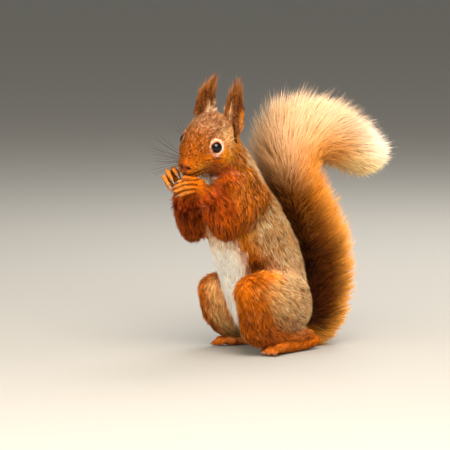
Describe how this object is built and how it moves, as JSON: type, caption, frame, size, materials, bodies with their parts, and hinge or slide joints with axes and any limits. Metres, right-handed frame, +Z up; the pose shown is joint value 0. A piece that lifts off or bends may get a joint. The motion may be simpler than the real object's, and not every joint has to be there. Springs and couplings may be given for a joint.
{
  "type": "squirrel figure",
  "caption": "Life-size still model of a red squirrel sitting up with its hands at its mouth and its bushy tail curled over its back.",
  "frame": {"origin": "on the floor under the rump, on the flat that the trunk rests on", "axes": "+Z up, the animal looks along -Y, its left side is +X"},
  "size_m": [0.0788, 0.1771, 0.1899],
  "materials": {
    "coat_head": "short russet fur, paler round the eyes",
    "coat_rufous": "short rufous fur",
    "coat_back": "ticked grey-brown fur, white on the belly",
    "coat_hand": "very short orange fur over bare pads",
    "tail_brown": "long loose chestnut hair",
    "tail_blond": "long loose blond hair",
    "eye": "wet gloss, near black"
  },
  "bodies": {
    "root": {"ear_left": "coat_head", "ear_right": "coat_head", "eye_left": "eye", "eye_right": "eye", "foot_left": "coat_hand", "foot_right": "coat_hand", "forearm_left": "coat_rufous", "forearm_right": "coat_rufous", "hand_left": "coat_hand", "hand_right": "coat_hand", "head": "coat_head", "neck": "coat_rufous", "shank_left": "coat_rufous", "shank_right": "coat_rufous", "tail_base": "tail_brown", "tail_curl": "tail_blond", "tail_middle": "tail_brown", "tail_tip": "tail_blond", "thigh_left": "coat_rufous", "thigh_right": "coat_rufous", "trunk": "coat_back", "upper_arm_left": "coat_rufous", "upper_arm_right": "coat_rufous"}
  },
  "joints": []
}
